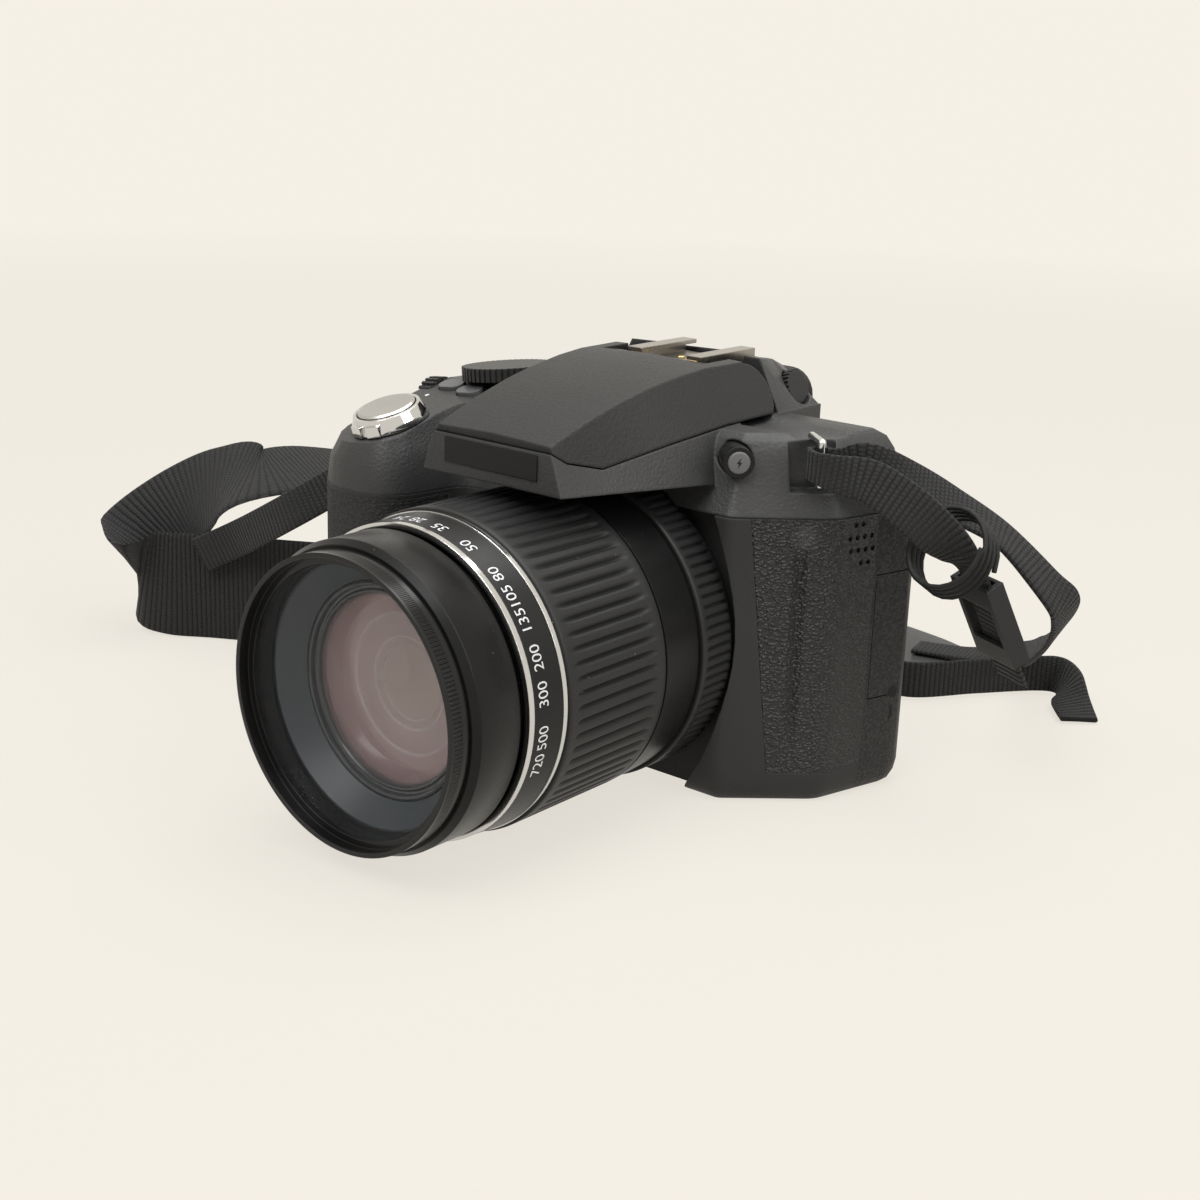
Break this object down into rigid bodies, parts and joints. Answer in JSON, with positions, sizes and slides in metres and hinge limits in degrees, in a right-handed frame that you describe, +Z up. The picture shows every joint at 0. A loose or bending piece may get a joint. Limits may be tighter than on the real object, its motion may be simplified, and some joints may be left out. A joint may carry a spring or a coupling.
{
  "type": "bridge camera",
  "caption": "Bridge camera with a telescoping zoom lens, pop-up flash, tilting rear screen, sprung buttons and dials, doors that open, and a neck strap lying beside it.",
  "frame": {"origin": "mouth of the tripod socket in the base, under the lens axis", "axes": "the front of the camera faces -Y, the grip is at -X and up is +Z, with the base on z = 0"},
  "size_m": [0.2484, 0.2179, 0.0923],
  "materials": {
    "shell": "fine grain",
    "skin": "pebbled",
    "gloss": "polished",
    "controls": "satin",
    "satin_metal": "satin",
    "bright_metal": "polished",
    "shoe_metal": "brushed",
    "barrel": "satin black",
    "lens_glass": "coated",
    "screen_glass": "polished",
    "window": "ribbed",
    "board": "board",
    "cell": "wrapped",
    "webbing": "woven",
    "cord": "smooth",
    "clip": "satin"
  },
  "bodies": {
    "body": {"front_shell": "shell", "rear_shell": "shell", "top_cover": "shell", "grip_skin": "skin", "side_skin": "skin", "badge_plate": "gloss", "hot_shoe": "shoe_metal", "shoe_plate": "gloss", "eyecup": "skin", "eyepiece_lens": "lens_glass", "strap_lugs": "bright_metal", "tripod_bush": "shoe_metal", "case_screws": "shoe_metal", "main_board": "board", "flash_capacitor": "cell", "battery_cells": "cell", "terminal_sockets": "shoe_metal", "speaker": "cell", "image_sensor": "board", "fixed_barrel": "barrel", "iris": "barrel", "strap_web_left": "webbing", "strap_band": "webbing", "strap_web_right": "webbing", "strap_slider": "clip", "cap_leash": "cord"},
    "focus": {"focus_ring": "skin"},
    "zoom": {"zoom_ring": "barrel", "zoom_grip": "skin", "zoom_trim": "bright_metal"},
    "middle": {"middle_barrel": "barrel", "inner_lens": "lens_glass"},
    "front": {"front_barrel": "barrel", "name_ring": "gloss", "front_lens": "lens_glass", "filter_ring": "barrel", "filter_glass": "lens_glass"},
    "shutter": {"shutter_button": "satin_metal"},
    "lever": {"power_lever": "bright_metal"},
    "exposure": {"exposure_button": "controls"},
    "burst": {"burst_button": "controls"},
    "mode": {"mode_dial": "controls"},
    "command": {"command_dial": "controls"},
    "flash": {"flash_lid": "shell", "flash_head": "shell", "flash_window": "window"},
    "flash_push": {"flash_button": "satin_metal"},
    "bracket": {"screen_bracket": "shell"},
    "screen": {"screen_panel": "shell", "screen_glass": "screen_glass"},
    "battery_flap": {"battery_door": "shell"},
    "latch": {"battery_latch": "controls"},
    "card_flap": {"card_door": "shell"},
    "terminal_flap": {"terminal_door": "shell"},
    "movie": {"movie_button": "controls"},
    "play": {"play_button": "controls"},
    "back": {"back_button": "controls"},
    "pad": {"direction_pad": "controls"},
    "ok": {"ok_button": "controls"},
    "dioptre": {"dioptre_wheel": "controls"}
  },
  "joints": [
    {"name": "focus_turn", "type": "hinge", "parent": "body", "child": "focus", "pos_m": [0, -0.018, 0.0345], "axis": [0, -1, 0], "continuous": true},
    {"name": "zoom_turn", "type": "hinge", "parent": "body", "child": "zoom", "pos_m": [0, -0.018, 0.0345], "axis": [0, -1, 0], "range_deg": [0, 95]},
    {"name": "zoom_stage", "type": "slide", "parent": "body", "child": "middle", "axis": [0, -1, 0], "range_m": [0, 0.028]},
    {"name": "front_stage", "type": "slide", "parent": "middle", "child": "front", "axis": [0, -1, 0], "range_m": [0, 0.028]},
    {"name": "shutter_press", "type": "slide", "parent": "body", "child": "shutter", "axis": [0.1, 0.2924, -0.9511], "range_m": [0, 0.0012], "stiffness_N_per_m": 600, "springref_m": -0.0006},
    {"name": "lever_turn", "type": "hinge", "parent": "body", "child": "lever", "pos_m": [-0.05735, -0.028, 0.07132], "axis": [-0.1, -0.2924, 0.9511], "range_deg": [0, 40]},
    {"name": "exposure_press", "type": "slide", "parent": "body", "child": "exposure", "axis": [0.1, 0.2924, -0.9511], "range_m": [0, 0.0008], "stiffness_N_per_m": 600, "springref_m": -0.0006},
    {"name": "burst_press", "type": "slide", "parent": "body", "child": "burst", "axis": [0.1, 0.2924, -0.9511], "range_m": [0, 0.0008], "stiffness_N_per_m": 600, "springref_m": -0.0006},
    {"name": "mode_turn", "type": "hinge", "parent": "body", "child": "mode", "pos_m": [-0.04588, -0.0003, 0.0799], "axis": [-0.1045, 0, 0.9945], "continuous": true},
    {"name": "command_turn", "type": "hinge", "parent": "body", "child": "command", "pos_m": [-0.0644, -0.005, 0.07242], "axis": [0.9945, 0, 0.1045], "continuous": true},
    {"name": "flash_up", "type": "hinge", "parent": "body", "child": "flash", "pos_m": [0, 0.005, 0.0854], "axis": [-1, 0, 0], "range_deg": [0, 45]},
    {"name": "flash_press", "type": "slide", "parent": "body", "child": "flash_push", "axis": [-0.7071, 0.7071, 0], "range_m": [0, 0.0008], "stiffness_N_per_m": 600, "springref_m": -0.0006},
    {"name": "bracket_tilt", "type": "hinge", "parent": "body", "child": "bracket", "pos_m": [0, 0.0183, 0.0053], "axis": [-1, 0, 0], "range_deg": [0, 35]},
    {"name": "screen_tilt", "type": "hinge", "parent": "bracket", "child": "screen", "pos_m": [0, 0.0232, 0.0614], "axis": [1, 0, 0], "range_deg": [0, 90]},
    {"name": "battery_flap_turn", "type": "hinge", "parent": "body", "child": "battery_flap", "pos_m": [-0.0363, 0, 0], "axis": [0, -1, 0], "range_deg": [0, 90]},
    {"name": "latch_slide", "type": "slide", "parent": "battery_flap", "child": "latch", "axis": [1, 0, 0], "range_m": [0, 0.003]},
    {"name": "card_flap_turn", "type": "hinge", "parent": "body", "child": "card_flap", "pos_m": [-0.06974, 0.014, 0], "axis": [0, 0, -1], "range_deg": [0, 100]},
    {"name": "terminal_flap_turn", "type": "hinge", "parent": "body", "child": "terminal_flap", "pos_m": [0.05321, 0.009, 0], "axis": [0, 0, -1], "range_deg": [0, 100]},
    {"name": "dioptre_turn", "type": "hinge", "parent": "body", "child": "dioptre", "pos_m": [0.01996, 0.023, 0.0845], "axis": [0.9511, 0, 0.309], "range_deg": [-60, 60]},
    {"name": "movie_press", "type": "slide", "parent": "body", "child": "movie", "axis": [0, -1, 0], "range_m": [0, 0.0008], "stiffness_N_per_m": 600, "springref_m": -0.0006},
    {"name": "play_press", "type": "slide", "parent": "body", "child": "play", "axis": [0, -1, 0], "range_m": [0, 0.0008], "stiffness_N_per_m": 600, "springref_m": -0.0006},
    {"name": "back_press", "type": "slide", "parent": "body", "child": "back", "axis": [0, -1, 0], "range_m": [0, 0.0008], "stiffness_N_per_m": 600, "springref_m": -0.0006},
    {"name": "pad_press", "type": "slide", "parent": "body", "child": "pad", "axis": [0, -1, 0], "range_m": [0, 0.0008], "stiffness_N_per_m": 600, "springref_m": -0.0006},
    {"name": "ok_press", "type": "slide", "parent": "body", "child": "ok", "axis": [0, -1, 0], "range_m": [0, 0.0008], "stiffness_N_per_m": 600, "springref_m": -0.0006}
  ],
  "couplings": [
    {"joint": "zoom_stage", "follows": "zoom_turn", "m_per_rad": 0.01688},
    {"joint": "front_stage", "follows": "zoom_turn", "m_per_rad": 0.01688}
  ]
}
